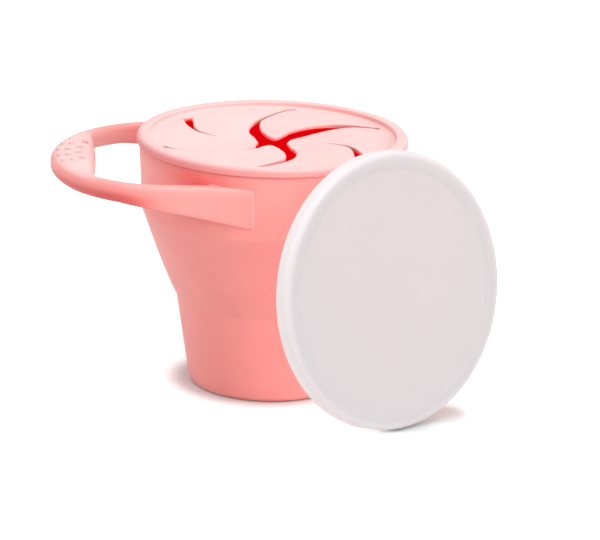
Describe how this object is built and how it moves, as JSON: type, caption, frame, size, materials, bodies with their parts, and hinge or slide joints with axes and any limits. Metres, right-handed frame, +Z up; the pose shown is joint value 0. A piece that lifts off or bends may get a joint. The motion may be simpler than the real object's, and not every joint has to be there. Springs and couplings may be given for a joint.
{
  "type": "toddler snack container",
  "caption": "Collapsible soft snack cup for a toddler, with a side carry loop, a slit flap top that a small hand reaches through, and a separate round storage lid.",
  "frame": {"origin": "on the cup's axis, on the flat underside that it stands on", "axes": "+Z up along the cup's axis, the carry loop along -X, and the standing lid on the +X -Y side"},
  "size_m": [0.1473, 0.1185, 0.0898],
  "materials": {
    "cup": "matt coral pink silicone",
    "flap_top": "matt pale pink silicone",
    "lid": "milky white, slightly translucent"
  },
  "bodies": {
    "base": {"cup_base": "cup", "fold_web": "cup"},
    "band": {"cup_band": "cup", "carry_loop": "cup"},
    "top": {"flap_ring": "flap_top"},
    "flap_1": {"flap_1": "flap_top"},
    "flap_2": {"flap_2": "flap_top"},
    "flap_3": {"flap_3": "flap_top"},
    "flap_4": {"flap_4": "flap_top"},
    "flap_5": {"flap_5": "flap_top"},
    "flap_6": {"flap_6": "flap_top"},
    "lid": {"storage_lid": "lid"}
  },
  "joints": [
    {"name": "collapse", "type": "slide", "parent": "base", "child": "band", "axis": [0, 0, -1], "range_m": [0, 0.04], "deforming": ["fold_web"]},
    {"name": "top_lift", "type": "slide", "parent": "band", "child": "top", "axis": [0, 0, 1], "range_m": [0, 0.04]},
    {"name": "flap_1_bend", "type": "hinge", "parent": "top", "child": "flap_1", "pos_m": [0.01673, 0.02649, 0.08305], "axis": [0.6493, -0.7605, 0], "range_deg": [-17.5, 36.5], "stiffness_Nm_per_rad": 0.03},
    {"name": "flap_2_bend", "type": "hinge", "parent": "top", "child": "flap_2", "pos_m": [-0.01358, 0.0274, 0.08305], "axis": [0.9823, 0.1875, 0], "range_deg": [-16, 38], "stiffness_Nm_per_rad": 0.03},
    {"name": "flap_3_bend", "type": "hinge", "parent": "top", "child": "flap_3", "pos_m": [-0.03081, 0.00069, 0.08305], "axis": [0.2972, 0.9548, 0], "range_deg": [-16, 38], "stiffness_Nm_per_rad": 0.03},
    {"name": "flap_4_bend", "type": "hinge", "parent": "top", "child": "flap_4", "pos_m": [-0.01673, -0.02649, 0.08305], "axis": [-0.6493, 0.7605, 0], "range_deg": [-12.5, 41.5], "stiffness_Nm_per_rad": 0.03},
    {"name": "flap_5_bend", "type": "hinge", "parent": "top", "child": "flap_5", "pos_m": [0.01358, -0.0274, 0.08305], "axis": [-0.9823, -0.1875, 0], "range_deg": [-16, 38], "stiffness_Nm_per_rad": 0.03},
    {"name": "flap_6_bend", "type": "hinge", "parent": "top", "child": "flap_6", "pos_m": [0.03081, -0.00069, 0.08305], "axis": [-0.2972, -0.9548, 0], "range_deg": [-16, 38], "stiffness_Nm_per_rad": 0.03},
    {"name": "lid_away", "type": "slide", "parent": "base", "child": "lid", "axis": [0.5976, -0.8018, 0], "range_m": [0, 0.06]}
  ]
}
